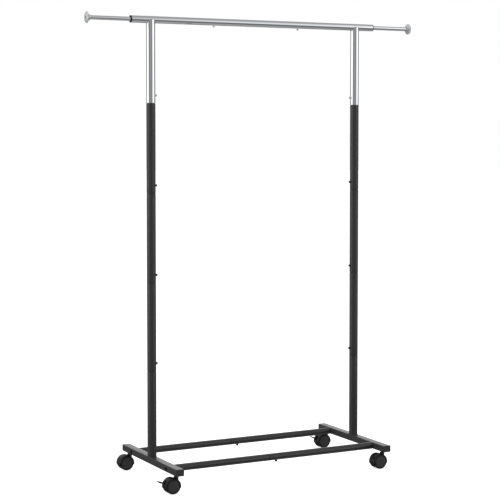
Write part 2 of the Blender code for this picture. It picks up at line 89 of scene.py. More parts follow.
def node_box(node):
    """Lowest corner, highest corner and middle of a frame node, as arrays."""
    low, high = (np.array(corner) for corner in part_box(node))
    return low, high, (low + high) / 2


def end_of(node, axis, sign):
    """Middle of the end of a node's box, on the side of an axis that the sign says."""
    low, high, place = node_box(node)
    index = "xyz".index(axis)
    place[index] = high[index] if sign > 0 else low[index]
    return place


# Sizes and colours that a user may change.


def linear(colour):
    """Linear colour of an sRGB hex value: c/12.92 below 0.04045, and ((c + 0.055)/1.055)^2.4 above it."""
    value = np.array([int(colour[i : i + 2], 16) for i in (1, 3, 5)]) / 255
    return tuple(np.where(value <= 0.04045, value / 12.92, ((value + 0.055) / 1.055) ** 2.4))


def length(name, description, default):
    return bpy.props.FloatProperty(
        name=name, description=description, default=default, min=0.0, unit="LENGTH", precision=5
    )


def colour(name, description, default):
    return bpy.props.FloatVectorProperty(
        name=name,
        description=description,
        default=linear(default),
        subtype="COLOR",
        size=3,
        min=0.0,
        max=1.0,
    )


def share(name, description, default, highest=1.0):
    return bpy.props.FloatProperty(
        name=name, description=description, default=default, min=0.0, max=highest
    )


class RackSizes(bpy.types.PropertyGroup):
    """Sizes of the details that the frame leaves plain"""

    tube_wall: length("Tube wall", "Thickness of the steel tubes", 1.2 * MM)
    tube_edge: length("Tube edge", "Rounding of a tube's cut end", 0.35 * MM)
    swage: length("Swage", "Length of the slope where a tube narrows to plug in", 1.6 * MM)
    hole_gap: length("Hole gap", "Clearance round a snap button", 0.35 * MM)
    weld_bead: length("Weld bead", "Size of the weld fillets", 1.3 * MM)
    foot_edge: length("Foot edge", "Rounding along the foot's box tube", 1.8 * MM)
    plug_edge: length("Plug edge", "Rounding of the foot plug's face", 0.8 * MM)
    plug_recess: length("Plug recess", "Depth of the panel in the foot plug's face", 0.35 * MM)
    disc_edge: length("Disc edge", "Rounding of the end disc's rim", 1.1 * MM)
    # Radius of the end disc's dimple. The black pin head set in it is painted shade that darkens the dimple.
    dimple: length("Disc pin", "Radius of the black pin head in the end disc", 3.0 * MM)
    hood_crown: length("Hood crown", "How far the caster hood falls towards its sides", 1.0 * MM)
    pedal_rib: length("Pedal rib", "Height of the grip ribs on a brake pedal", 0.35 * MM)
    wheel_lip: length("Wheel lip", "Rounding of the wheel's edges", 1.6 * MM)
    wheel_cap: length("Wheel cap", "Radius of the cap in the wheel's face", 19.6 * MM)


class RackColours(bpy.types.PropertyGroup):
    """Colours of the finishes"""

    chrome: colour("Chrome", "Bright chrome plate", "#E4E5E8")
    coat: colour("Powder coat", "Satin black powder coat", "#353536")
    coat_speck: colour("Powder coat speck", "Lighter grain in the powder coat", "#414142")
    disc: colour("Disc", "Silver of the end discs", "#DCDDDF")
    plastic: colour("Plastic", "Black ABS of hoods and brake levers", "#0C0C0D")
    # The pins in this nylon are the dark dots in the end discs' dimples, and they are painted shade.
    nylon: colour("Nylon", "Black nylon of tyres, bushes, buttons and pins", "#0E0E0F")
    cap: colour("Wheel cap", "Dark grey ABS of the wheels' faces and the foot plugs", "#343435")
    oxide: colour("Oxide", "Black oxide on bolts and stems", "#26262A")
    floor: colour("Floor", "Pale studio floor", "#FBFBFB")


class RackStage(bpy.types.PropertyGroup):
    """Camera and studio light"""

    lens: bpy.props.FloatProperty(
        name="Lens", description="Focal length in millimetres", default=106.86, min=10.0
    )
    eye: bpy.props.FloatVectorProperty(
        name="Eye", description="Where the camera stands", default=(-2.3544, -4.4687, 1.1560), unit="LENGTH"
    )
    heading: bpy.props.FloatProperty(
        name="Heading", description="Turn of the view from +Y", default=math.radians(27.543), unit="ROTATION"
    )
    dip: bpy.props.FloatProperty(
        name="Dip", description="How far the view looks down", default=math.radians(2.926), unit="ROTATION"
    )
    rise: bpy.props.FloatProperty(
        name="Rise", description="Vertical lens shift, as a share of the frame", default=-0.085
    )
    room: share("Room light", "Strength of the room's own light", 1.0, 10.0)
    top: share("Top light", "Power of the soft light overhead, in watts", 60.0, 5000.0)
    side: share("Side light", "Power of the soft light at the left, in watts", 55.0, 5000.0)


def sizes():
    return bpy.context.scene.rack_sizes


# Surfaces. Every grid has rows along its first parameter and columns along its second.


def grid_faces(rows, columns, close_rows=False, close_columns=True):
    """Quads of a grid. They face outwards where (next column) x (next row) does."""
    i, j = np.meshgrid(
        np.arange(rows if close_rows else rows - 1),
        np.arange(columns if close_columns else columns - 1),
        indexing="ij",
    )
    across, along = (j + 1) % columns, (i + 1) % rows
    corners = [i * columns + j, i * columns + across, along * columns + across, along * columns + j]
    return np.stack(corners, axis=-1).reshape(-1, 4)


def grid_part(points, close_rows=False, close_columns=True):
    """Points and quads of a grid of places."""
    rows, columns = points.shape[:2]
    return points.reshape(-1, 3), grid_faces(rows, columns, close_rows, close_columns)


def flipped(part):
    return part[0], part[1][:, ::-1]


def moved(part, axis="+z", place=(0, 0, 0)):
    """A part built along +Z, turned onto another axis and put in its place."""
    return part[0] @ TURNS[axis].T + np.array(place), part[1]


def joined(parts):
    """Several parts as one, with each place that they share kept once."""
    starts = np.cumsum([0] + [len(points) for points, _ in parts[:-1]])
    points = np.concatenate([points for points, _ in parts])
    faces = np.concatenate([faces + start for (_, faces), start in zip(parts, starts)])
    _, first, index = np.unique(
        np.round(points / 1e-7).astype(np.int64), axis=0, return_index=True, return_inverse=True
    )
    return points[first], index.reshape(-1)[faces]


def eased(corners, closed=False, steps=4):
    """Outline through corners (a, b, reach) with each corner rounded.

    A corner P is replaced by the curve (1-s)^2 A + 2s(1-s) P + s^2 B, where A and B lie `reach`
    before and after P on the outline's own lines and s runs from 0 to 1.
    """
    data = np.array(corners, float)
    corner, reach = data[:, :2], data[:, 2:]
    before, after = np.roll(corner, 1, axis=0) - corner, np.roll(corner, -1, axis=0) - corner
    if not closed:
        before[0], after[-1] = 0, 0
    unit = [side / np.maximum(np.linalg.norm(side, axis=1, keepdims=True), 1e-12) for side in (before, after)]
    start, stop = corner + unit[0] * reach, corner + unit[1] * reach
    s = np.linspace(0, 1, steps + 1)[None, :, None]
    curve = (1 - s) ** 2 * start[:, None] + 2 * s * (1 - s) * corner[:, None] + s**2 * stop[:, None]
    return curve.reshape(-1, 2)


def turned(profile, columns=64, ring=False):
    """Surface of revolution: (r, h) at angle t lies at (r cos t, r sin t, h). The outline runs up its outer side."""
    angle = np.linspace(0, 2 * np.pi, columns, endpoint=False)
    radius, height = profile[:, :1], profile[:, 1:]
    points = np.stack([radius * np.cos(angle), radius * np.sin(angle), height + 0 * angle], axis=-1)
    return grid_part(points, close_rows=ring)


def mesh_of(name, part, material):
    """Mesh of a joined part. A quad that has shrunk to three corners becomes a triangle."""
    points, faces = part
    same = faces == np.roll(faces, -1, axis=1)
    count = same.sum(axis=1)
    triangles = faces[count == 1][~same[count == 1]].reshape(-1, 3)
    mesh = bpy.data.meshes.new(name)
    mesh.from_pydata(points.tolist(), [], faces[count == 0].tolist() + triangles.tolist())
    mesh.materials.append(material)
    return mesh


def finish(name, node, parts, kind):
    """Makes a piece from its parts, hangs it on the node's body and lets it stand for the node."""
    mesh = mesh_of(name, joined(parts), finish_of(kind))
    mesh.polygons.foreach_set("use_smooth", np.ones(len(mesh.polygons), bool))
    mesh.set_sharp_from_angle(angle=math.radians(34))
    mesh.update()
    piece = bpy.data.objects.new(name, mesh)
    bpy.context.scene.collection.objects.link(piece)
    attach(piece, BODY_OF[node])
    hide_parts(node)


# Tubes with round holes for the snap buttons.

HOLE_COLUMNS = 64
HOLE_ROWS = 5


def patch_outline(height, reach, spread, step):
    """Angle and height of the points round the square patch of a hole, counter-clockwise from outside."""
    across = np.arange(-spread, spread) * step
    along = np.linspace(-reach, reach, 2 * HOLE_ROWS + 1)[:-1]
    angle = np.concatenate([across, np.full(len(along), spread * step), -across, np.full(len(along), -spread * step)])
    rise = np.concatenate([np.full(len(across), -reach), along, np.full(len(across), reach), -along])
    return angle, height + rise


def punched_wall(profile, holes, spread):
    """Wall of revolution with round holes on its +X side, and the rim of each hole.

    The profile is (radius, height) going up. A hole is (height, radius). Round each hole, the square of
    cells within `spread` columns is left out and filled with rings that pass from the square to the circle
    (height, side) = (h + r sin t, r cos t), where side is measured straight across the tube.
    """
    step = 2 * np.pi / HOLE_COLUMNS
    heights, radii = profile[:, 1], profile[:, 0]
    patches = [(height, hole, np.interp(height, heights, radii), 1.5 * hole, spread) for height, hole in holes]
    rows = [heights] + [np.linspace(h - reach, h + reach, 2 * HOLE_ROWS + 1) for h, _, _, reach, _ in patches]
    level = np.unique(np.round(np.concatenate(rows), 9))
    wall_radius = np.interp(level, heights, radii)
    angle = (np.arange(HOLE_COLUMNS) - HOLE_COLUMNS // 2) * step
    points = np.stack(
        [
            wall_radius[:, None] * np.cos(angle),
            wall_radius[:, None] * np.sin(angle),
            level[:, None] + 0 * angle,
        ],
        axis=-1,
    )
    faces = grid_faces(len(level), HOLE_COLUMNS).reshape(len(level) - 1, HOLE_COLUMNS, 4)
    keep = np.ones(faces.shape[:2], bool)
    parts, rims = [], []
    for height, hole, radius, reach, spread in patches:
        inside = (level[:-1] > height - reach - 1e-7) & (level[1:] < height + reach + 1e-7)
        middle = HOLE_COLUMNS // 2
        keep[np.ix_(inside, np.arange(middle - spread, middle + spread))] = False
        edge_angle, edge_height = patch_outline(height, reach, spread, step)
        turn = np.arctan2((edge_height - height) / reach, edge_angle / (spread * step))
        rim_angle = np.arcsin(hole * np.cos(turn) / radius)
        rim_height = height + hole * np.sin(turn)
        w = np.linspace(0, 1, 4)[:, None]
        ring_angle = (1 - w) * edge_angle + w * rim_angle
        ring_height = (1 - w) * edge_height + w * rim_height
        rings = np.stack([radius * np.cos(ring_angle), radius * np.sin(ring_angle), ring_height], axis=-1)
        parts.append(grid_part(rings))
        rims.append(rings[-1])
    return [(points.reshape(-1, 3), faces[keep])] + parts, rims, points


def sleeve(outer, inner, holes=()):
    """Closed tube between two going-up profiles, with each hole's round passage through the wall."""
    widest = max((1.3 * hole / np.interp(height, inner[:, 1], inner[:, 0]) for height, hole in holes), default=0)
    spread = math.ceil(math.asin(min(widest, 0.99)) * HOLE_COLUMNS / (2 * np.pi))
    outside, outer_rims, outer_rows = punched_wall(outer, holes, spread)
    inside, inner_rims, inner_rows = punched_wall(inner, holes, spread)
    parts = outside + [flipped(part) for part in inside]
    parts += [grid_part(np.stack(pair)) for pair in zip(outer_rims, inner_rims)]
    parts.append(grid_part(np.stack([inner_rows[0], outer_rows[0]])))
    parts.append(grid_part(np.stack([outer_rows[-1], inner_rows[-1]])))
    return joined(parts)


def plain_ends(radius, low, high, edge):
    """Going-up profile of a straight tube with rounded ends."""
    bottom = [(radius - edge, low, 0), (radius, low + edge, edge / 2)]
    return eased(bottom + [(radius, high - edge, edge / 2), (radius - edge, high, 0)])


# Outer radii of the male ends of the post tubes and of the crossbars, and the gap left at a seam.
POST_MALE = 13.6 * MM
BAR_MALE = 9.9 * MM
TUBE_GAP = 0.3 * MM
# Thickness of the chrome uprights, and of the thin extension rods.
UPRIGHT_WALL = 1.7 * MM
ROD_WALL = 1.0 * MM
# Radius of a snap button's shank, and of the wider hole in a rod, which its lock button passes freely.
BUTTON_SHANK = 3.9 * MM
ROD_HOLE = 5.1 * MM


def plug_in_tube(radius, male_radius, low, seam, top, holes):
    """Tube that narrows just under its seam to a male end, as a swaging die leaves it."""
    wall, edge, swage = sizes().tube_wall, sizes().tube_edge, sizes().swage
    outer = eased(
        [
            (radius - edge, low, 0),
            (radius, low + edge, edge / 2),
            (radius, seam - swage, swage / 3),
            (male_radius, seam - 0.15 * MM, swage / 4),
            (male_radius, top - edge, edge / 2),
            (male_radius - edge, top, 0),
        ]
    )
    inner = eased(
        [
            (radius - wall, low, 0),
            (radius - wall, seam - 2 * swage, swage / 3),
            (male_radius - wall, seam - swage, swage / 3),
            (male_radius - wall, top, 0),
        ]
    )
    return sleeve(outer, inner, holes)


# Finishes.


def feed(tree, node, inputs):
    """Gives each input a value, or a link from another node's output."""
    for socket, value in inputs.items():
        if isinstance(value, bpy.types.NodeSocket):
            tree.links.new(value, node.inputs[socket])
        else:
            node.inputs[socket].default_value = value


def add_node(tree, kind, inputs, stops=(), blend="LINEAR", **settings):
    """Adds a node with its settings and inputs, and returns its first output.

    A colour ramp has its stops, as (place, colour), and the way that it blends between them.
    """
    node = tree.nodes.new("ShaderNode" + kind)
    for setting, value in settings.items():
        setattr(node, setting, value)
    for index, (place, tone) in enumerate(stops):
        node.color_ramp.interpolation = blend
        elements = node.color_ramp.elements
        stop = elements[index] if index < 2 else elements.new(place)
        stop.position, stop.color = place, (*tone, 1)
    feed(tree, node, inputs)
    return node.outputs[0]


def new_finish(name):
    """A material with its node tree, its shader and its own coordinates in metres."""
    material = bpy.data.materials.new(name)
    material.use_nodes = True
    tree = material.node_tree
    place = tree.nodes.new("ShaderNodeTexCoord").outputs["Object"]
    return material, tree, tree.nodes["Principled BSDF"], place


def toned(tint, amount):
    """A colour made lighter or darker."""
    return tuple(amount * channel for channel in tint)


def chrome_plate(name, stretch):
    """Bright chrome plate on drawn steel tube.

    Polishing leaves hairlines about 0.6 mm apart along the tube, which widen the reflections a little,
    and long shallow waves of 40 mm that make them swim.
    """
    material, tree, shader, place = new_finish(name)
    drawn = add_node(tree, "Mapping", {"Vector": place, "Scale": stretch})
    hairline = add_node(tree, "TexNoise", {"Vector": drawn, "Scale": 1 / (0.6 * MM), "Detail": 2.0})
    smudge = add_node(tree, "TexNoise", {"Vector": place, "Scale": 1 / (55 * MM), "Detail": 3.0})
    blend = add_node(tree, "Math", {0: hairline, 1: smudge}, operation="MULTIPLY")
    spread = {"Value": blend, "From Min": 0.1, "From Max": 0.5, "To Min": 0.05, "To Max": 0.09}
    wave = add_node(tree, "TexNoise", {"Vector": drawn, "Scale": 1 / (40 * MM), "Detail": 1.0})
    looks = {
        "Base Color": (*bpy.context.scene.rack_colours.chrome, 1),
        "Metallic": 1.0,
        "Roughness": add_node(tree, "MapRange", spread),
        "Normal": add_node(tree, "Bump", {"Height": wave, "Strength": 0.06, "Distance": 0.2 * MM}),
    }
    feed(tree, shader, looks)
    return material


def powder_coat():
    """Satin black polyester powder coat, sprayed and baked.

    The powder melts into an orange peel about 1.1 mm across and keeps a fine lighter grain.
    """
    colours = bpy.context.scene.rack_colours
    material, tree, shader, place = new_finish("satin_powder_coated_steel")
    grain = add_node(tree, "TexNoise", {"Vector": place, "Scale": 1 / (0.5 * MM), "Detail": 3.0, "Roughness": 0.6})
    tones = ((0.42, colours.coat), (0.68, colours.coat_speck))
    peel = add_node(tree, "TexNoise", {"Vector": place, "Scale": 1 / (1.1 * MM), "Detail": 2.0})
    cloud = add_node(tree, "TexNoise", {"Vector": place, "Scale": 1 / (30 * MM), "Detail": 3.0})
    looks = {
        "IOR": 1.5,
        "Base Color": add_node(tree, "ValToRGB", {"Fac": grain}, tones),
        "Roughness": add_node(tree, "MapRange", {"Value": cloud, "To Min": 0.26, "To Max": 0.38}),
        "Normal": add_node(tree, "Bump", {"Height": peel, "Strength": 0.22, "Distance": 0.08 * MM}),
    }
    feed(tree, shader, looks)
    return material


def silver_moulding():
    """Smooth ABS moulding sprayed silver: tiny metal flakes, 0.3 mm as drawn, under a clear satin coat."""
    silver = bpy.context.scene.rack_colours.disc
    material, tree, shader, place = new_finish("silver_painted_abs")
    flake = add_node(tree, "TexVoronoi", {"Vector": place, "Scale": 1 / (0.3 * MM)})
    looks = {
        "Metallic": 0.2,
        "IOR": 1.5,
        "Coat Weight": 0.3,
        "Coat Roughness": 0.2,
        "Base Color": add_node(tree, "ValToRGB", {"Fac": flake}, ((0, silver), (1, toned(silver, 0.9)))),
        "Roughness": add_node(tree, "MapRange", {"Value": flake, "To Min": 0.30, "To Max": 0.42}),
    }
    feed(tree, shader, looks)
    return material


def moulded_plastic(name, colour_name, grain_size, rough_low, rough_high):
    """Injection-moulded plastic. The mould's spark-eroded steel leaves an even matt grain on it."""
    tint = getattr(bpy.context.scene.rack_colours, colour_name)
    material, tree, shader, place = new_finish(name)
    grain = add_node(tree, "TexNoise", {"Vector": place, "Scale": 1 / grain_size, "Detail": 4.0, "Roughness": 0.65})
    tones = ((0.35, toned(tint, 0.85)), (0.70, toned(tint, 1.25)))
    looks = {
        "IOR": 1.52,
        "Base Color": add_node(tree, "ValToRGB", {"Fac": grain}, tones),
        "Roughness": add_node(tree, "MapRange", {"Value": grain, "To Min": rough_low, "To Max": rough_high}),
        "Normal": add_node(tree, "Bump", {"Height": grain, "Strength": 0.25, "Distance": 0.05 * MM}),
    }
    feed(tree, shader, looks)
    return material


def black_oxide():
    """Hot black oxide on turned steel: dark, slightly blue, with faint uneven patches of 4 mm."""
    oxide = bpy.context.scene.rack_colours.oxide
    material, tree, shader, place = new_finish("black_oxide_steel")
    patch = add_node(tree, "TexNoise", {"Vector": place, "Scale": 1 / (4 * MM), "Detail": 4.0})
    tones = ((0, toned(oxide, 0.8)), (1, toned(oxide, 1.5)))
    looks = {
        "Metallic": 1.0,
        "Base Color": add_node(tree, "ValToRGB", {"Fac": patch}, tones),
        "Roughness": add_node(tree, "MapRange", {"Value": patch, "To Min": 0.38, "To Max": 0.55}),
    }
    feed(tree, shader, looks)
    return material


# Short name of each finish, its maker and what the maker is given.
FINISH_MAKERS = {
    "chrome_rail": (chrome_plate, "chrome_plate_rail", (0.04, 1.0, 1.0)),
    "chrome_upright": (chrome_plate, "chrome_plate_upright", (1.0, 1.0, 0.04)),
    "coat": (powder_coat,),
    "silver": (silver_moulding,),
    "abs": (moulded_plastic, "moulded_black_abs", "plastic", 0.6 * MM, 0.24, 0.34),
    "nylon": (moulded_plastic, "moulded_black_nylon", "nylon", 0.9 * MM, 0.42, 0.56),
    "cap": (moulded_plastic, "moulded_grey_abs", "cap", 0.8 * MM, 0.45, 0.60),
    "oxide": (black_oxide,),
}
FINISHES = {}


def finish_of(kind):
    """A finish by its short name, made the first time that it is asked for."""
    if kind not in FINISHES:
        maker, *given = FINISH_MAKERS[kind]
        FINISHES[kind] = maker(*given)
    return FINISHES[kind]


# Operators.


class RACK_OT_rail(bpy.types.Operator):
    """Make the chrome top rail, its end bushes and its lock buttons"""

    bl_idname = "rack.rail"
    bl_label = "Top rail"

    def execute(self, context):
        low, high, middle = node_box("top_rail")
        radius = (high[1] - low[1]) / 2
        wall, edge = sizes().tube_wall, sizes().tube_edge
        half = (high[0] - low[0]) / 2
        _, _, lock = node_box("rail_button_right")
        holes = [(-lock[0], button_hole()), (lock[0], button_hole())]
        outer = plain_ends(radius, -half, half, edge)
        inner = plain_ends(radius - wall, -half, half, 0.0)
        # The holes are made on the tube's +X side, which this turn brings underneath.
        tube = moved(sleeve(outer, inner, holes), "+x", middle)
        finish("rail_tube", "top_rail", [tube], "chrome_rail")
        for side, sign in SIDES.items():
            make_bush(side, sign)
            make_button(f"rail_button_{side}", "-z")
        return {"FINISHED"}


def button_hole():
    """Radius of the hole round a snap button."""
    return BUTTON_SHANK + sizes().hole_gap


def make_bush(side, sign):
    """Ring in the rail's mouth: a flange with a rounded lip, and a sleeve round the rod."""
    node = f"rail_bush_{side}"
    low, high, _ = node_box(node)
    rod_low, rod_high, _ = node_box(f"extension_rod_{side}")
    radius, depth = (high[1] - low[1]) / 2, high[0] - low[0]
    bore = (rod_high[1] - rod_low[1]) / 2 + 0.25 * MM
    sleeve_radius, flange = radius - 1.6 * MM, 2.0 * MM
    outline = eased(
        [
            (bore, -depth, 0.2 * MM),
            (sleeve_radius, -depth, 0.3 * MM),
            (sleeve_radius, -flange, 0.1 * MM),
            (radius, -flange, 0.2 * MM),
            (radius, 0, 0.3 * MM),
            (bore + 0.5 * MM, 0, 0.3 * MM),
            (bore, -0.8 * MM, 0.3 * MM),
        ],
        closed=True,
    )
    part = moved(turned(outline, ring=True), signed("x", sign), end_of(node, "x", sign))
    finish(f"bush_{side}", node, [part], "nylon")


def make_button(node, axis):
    """Snap button: a shank with a domed tip and a flange behind the tube's wall.

    Its tip is where the frame's button ends. The dome is the arc of a circle eased into the shank.
    """
    low, high, _ = node_box(node)
    sign, letter = (1 if axis[0] == "+" else -1), axis[1]
    reach = (high - low)["xyz".index(letter)]
    flange = (high[1] - low[1]) / 2
    shank = BUTTON_SHANK
    outline = eased(
        [
            (0, 0, 0),
            (flange, 0, 0.2 * MM),
            (flange, 1.0 * MM, 0.2 * MM),
            (shank, 1.0 * MM, 0.2 * MM),
            (shank, reach, 2.4 * MM),
            (0, reach, 0),
        ],
        steps=8,
    )
    kind = "nylon" if SLOT_OF[node] == "black_nylon" else "chrome_upright"
    part = moved(turned(outline, 40), axis, end_of(node, letter, -sign))
    finish(f"snap_{node}", node, [part], kind)


class RACK_OT_rods(bpy.types.Operator):
    """Make the two extension rods and their end discs"""

    bl_idname = "rack.rods"
    bl_label = "Extension rods"

    def execute(self, context):
        for side, sign in SIDES.items():
            make_rod(side)
            make_disc(side, sign)
        return {"FINISHED"}


def make_rod(side):
    """Thin open tube with the hole that takes the rail's lock button."""
    low, high, middle = node_box(f"extension_rod_{side}")
    _, _, button = node_box(f"rail_button_{side}")
    radius, half = (high[1] - low[1]) / 2, (high[0] - low[0]) / 2
    hole = [(button[0] - middle[0], ROD_HOLE)]
    outer = plain_ends(radius, -half, half, sizes().tube_edge)
    inner = plain_ends(radius - ROD_WALL, -half, half, 0.0)
    tube = moved(sleeve(outer, inner, hole), "+x", middle)
    finish(f"rod_{side}", f"extension_rod_{side}", [tube], "chrome_rail")


def make_disc(side, sign):
    """Turned disc: a dome, a rounded rim, a flat back and a swelling hub, with a black pin's head set in the dome as
    painted shade that darkens its dimple.
    """
    node = f"end_disc_{side}"
    low, high, _ = node_box(node)
    rod_low, rod_high, _ = node_box(f"extension_rod_{side}")
    radius, depth = (high[1] - low[1]) / 2, high[0] - low[0]
    rod_end = (high[0] - rod_high[0]) if sign > 0 else (rod_low[0] - low[0])
    rod_radius = (rod_high[1] - rod_low[1]) / 2
    bore, hub = rod_radius + 0.3 * MM, 10.5 * MM
    edge, dimple, dome = sizes().disc_edge, sizes().dimple, 3.4 * MM
    spread = np.linspace(radius - edge, dimple + 0.5 * MM, 9)
    crown = -dome * (spread / radius) ** 2.4
    corners = [
        (0, -depth, 0),
        (rod_radius - 1.3 * MM, -depth, 0.5 * MM),
        (rod_radius - 1.3 * MM, -rod_end + 0.3 * MM, 0.05 * MM),
        (bore, -rod_end + 0.3 * MM, 0.05 * MM),
        (bore, -rod_end - 6.0 * MM, 0.3 * MM),
        (hub - 0.5 * MM, -rod_end - 6.0 * MM, 0.5 * MM),
        (hub, -7.0 * MM, 1.2 * MM),
        (radius - 0.6 * MM, -6.2 * MM, 0.7 * MM),
        (radius, -4.4 * MM, 0.9 * MM),
    ]
    outline = np.concatenate(
        [
            eased(corners + [(spread[0], crown[0], 0)]),
            np.stack([spread, crown], axis=1),
            eased(
                [
                    (dimple + 0.5 * MM, crown[-1], 0),
                    (dimple, crown[-1] - 0.2 * MM, 0.15 * MM),
                    (dimple, -1.4 * MM, 0.2 * MM),
                    (0, -1.6 * MM, 0),
                ]
            ),
        ]
    )
    # The black pin head is painted shade: a dark nylon dot that darkens the dimple's middle.
    head = dimple - 0.1 * MM
    pin = eased(
        [(0, -1.55 * MM, 0), (head, -1.35 * MM, 0.1 * MM), (head, -0.2 * MM, 0.3 * MM), (0, -0.1 * MM, 0)]
    )
    axis, place = signed("x", sign), end_of(node, "x", sign)
    finish(f"disc_{side}", node, [moved(turned(outline), axis, place)], "silver")
    finish(f"disc_pin_{side}", node, [moved(turned(pin, 32), axis, place)], "nylon")


class RACK_OT_posts(bpy.types.Operator):
    """Make the black post tubes, the chrome uprights and the snap buttons on them"""

    bl_idname = "rack.posts"
    bl_label = "Posts"

    def execute(self, context):
        for side, sign in SIDES.items():
            for level in (1, 2, 3):
                make_post_tube(side, sign, level)
            make_upright(side, sign)
            for level in (1, 2, 3, 4):
                make_button(f"post_button_{side}_{level}", signed("x", -sign))
        return {"FINISHED"}


def facing_in(part, sign):
    """Turns a tube's holes, made on its +X side, towards the other post: (x, y) to (-x, -y) on the right."""
    return part[0] * ((-1, -1, 1) if sign > 0 else (1, 1, 1)), part[1]


def make_post_tube(side, sign, level):
    """Black post tube. It covers the male end below it, and its own male end plugs into the tube above."""
    low, high, middle = node_box(f"post_tube_{side}_{level}")
    _, _, lower_button = node_box(f"post_button_{side}_{level}")
    _, _, upper_button = node_box(f"post_button_{side}_{level + 1}")
    above = node_box(f"post_tube_{side}_{level + 1}" if level < 3 else f"chrome_upright_{side}")[0]
    holes = [(button[2], button_hole()) for button in (lower_button, upper_button)]
    tube = plug_in_tube((high[0] - low[0]) / 2, POST_MALE, low[2], above[2] - TUBE_GAP, high[2], holes)
    part = moved(facing_in(tube, sign), "+z", (middle[0], middle[1], 0))
    finish(f"post_{side}_{level}", f"post_tube_{side}_{level}", [part], "coat")


def make_upright(side, sign):
    """Chrome tube whose top is cut to sit round the rail.

    Above a bend line the wall is stretched so that its edge follows the rail: the top at a distance y
    from the middle lies sqrt(R^2 - y^2) below the rail's axis, and level with the axis beyond R.
    """
    low, high, middle = node_box(f"chrome_upright_{side}")
    rail_low, rail_high, rail = node_box("top_rail")
    rail_radius = (rail_high[1] - rail_low[1]) / 2 + 0.1 * MM
    radius = (high[0] - low[0]) / 2
    _, _, button = node_box(f"post_button_{side}_4")
    edge = sizes().tube_edge
    bend = high[2] - 40 * MM
    rows = np.linspace(bend, high[2], 9)[:, None]
    bottom = eased([(radius - edge, low[2], 0), (radius, low[2] + edge, edge / 2), (radius, bend, 0)])
    outer = np.concatenate([bottom, np.concatenate([0 * rows[1:] + radius, rows[1:]], axis=1)])
    inner_radius = radius - UPRIGHT_WALL
    inner = np.concatenate([[[inner_radius, low[2]]], np.concatenate([0 * rows + inner_radius, rows], axis=1)])
    points, faces = sleeve(outer, inner, [(button[2], button_hole())])
    drop = np.sqrt(np.maximum(rail_radius**2 - points[:, 1] ** 2, 0))
    share_up = np.clip((points[:, 2] - bend) / (high[2] - bend), 0, 1)
    points = points - np.stack([0 * drop, 0 * drop, drop * share_up], axis=1)
    part = moved(facing_in((points, faces), sign), "+z", (middle[0], middle[1], 0))
    bead = saddle_bead(radius, rail_radius, rail, middle)
    finish(f"upright_{side}", f"chrome_upright_{side}", [part, bead], "chrome_upright")


def saddle_bead(radius, rail_radius, rail, middle):
    """Slim weld bead that follows the line where the upright meets the rail.

    Its centre is at angle t round the upright: (r cos t, r sin t) and sqrt(R^2 - y^2) below the rail's axis.
    """
    t = np.linspace(0, 2 * np.pi, 96, endpoint=False)
    r = radius - 0.2 * MM
    y = r * np.sin(t)
    drop = np.sqrt(np.maximum(rail_radius**2 - y**2, 0))
    centre = np.stack([r * np.cos(t), y, -drop], axis=1)
    ahead = np.roll(centre, -1, axis=0) - np.roll(centre, 1, axis=0)
    ahead /= np.linalg.norm(ahead, axis=1, keepdims=True)
    out = np.stack([np.cos(t), np.sin(t), 0 * t], axis=1)
    out -= ahead * (out * ahead).sum(axis=1, keepdims=True)
    out /= np.linalg.norm(out, axis=1, keepdims=True)
    up = np.cross(ahead, out)
    p = np.linspace(0, 2 * np.pi, 8, endpoint=False)[:, None, None]
    size = 0.45 * sizes().weld_bead
    rows = centre + size * (np.cos(p) * out + np.sin(p) * up)
    points, faces = grid_part(rows, close_rows=True)
    return points + np.array([middle[0], middle[1], rail[2]]), faces


class RACK_OT_feet(bpy.types.Operator):
    """Make the feet with their welded stubs, their end plugs and the crossbar bolts"""

    bl_idname = "rack.feet"
    bl_label = "Feet"

    def execute(self, context):
        for side, sign in SIDES.items():
            make_foot(side, sign)
            for end, y_sign in ENDS.items():
                make_plug(side, end, y_sign)
                make_bolt(side, sign, end)
        return {"FINISHED"}


def rounded_box_loop(half_width, half_height, radius, steps=5):
    """Rounded rectangle about the origin, counter-clockwise, as (across, up)."""
    corners = [
        (half_width, -half_height, radius),
        (half_width, half_height, radius),
        (-half_width, half_height, radius),
        (-half_width, -half_height, radius),
    ]
    return eased(corners, closed=True, steps=steps)


def make_foot(side, sign):
    """Box tube along Y, the post's stub on it, and the weld round the stub's base."""
    low, high, _ = node_box(f"foot_{side}")
    plug_low, plug_high, plug = node_box(f"foot_plug_{side}_near")
    top, bottom = plug_high[2], plug_low[2]
    half_width, half_height = (plug_high[0] - plug_low[0]) / 2, (top - bottom) / 2
    x, z = plug[0], (top + bottom) / 2
    wall, edge = 1.5 * MM, sizes().foot_edge
    outside = rounded_box_loop(half_width, half_height, edge)
    inside = rounded_box_loop(half_width - wall, half_height - wall, max(edge - wall, 0.2 * MM))
    # Going round the section: out along Y on the outer skin, back along the inner one.
    loops = [(outside, low[1]), (outside, high[1]), (inside, high[1]), (inside, low[1])]
    rows = [np.stack([x + loop[:, 0], np.full(len(loop), y), z + loop[:, 1]], axis=1) for loop, y in loops]
    tube = flipped(grid_part(np.stack(rows), close_rows=True))
    _, _, button = node_box(f"post_button_{side}_1")
    tube_low, tube_high, _ = node_box(f"post_tube_{side}_1")
    seam, stub_radius = tube_low[2] - TUBE_GAP, (tube_high[0] - tube_low[0]) / 2
    stub = plug_in_tube(stub_radius, POST_MALE, top - 0.6 * MM, seam, high[2], [(button[2], button_hole())])
    stub = moved(facing_in(stub, sign), "+z", (x, 0, 0))
    weld = stub_weld(stub_radius, half_width, x, top)
    finish(f"foot_frame_{side}", f"foot_{side}", [tube, stub, weld], "coat")


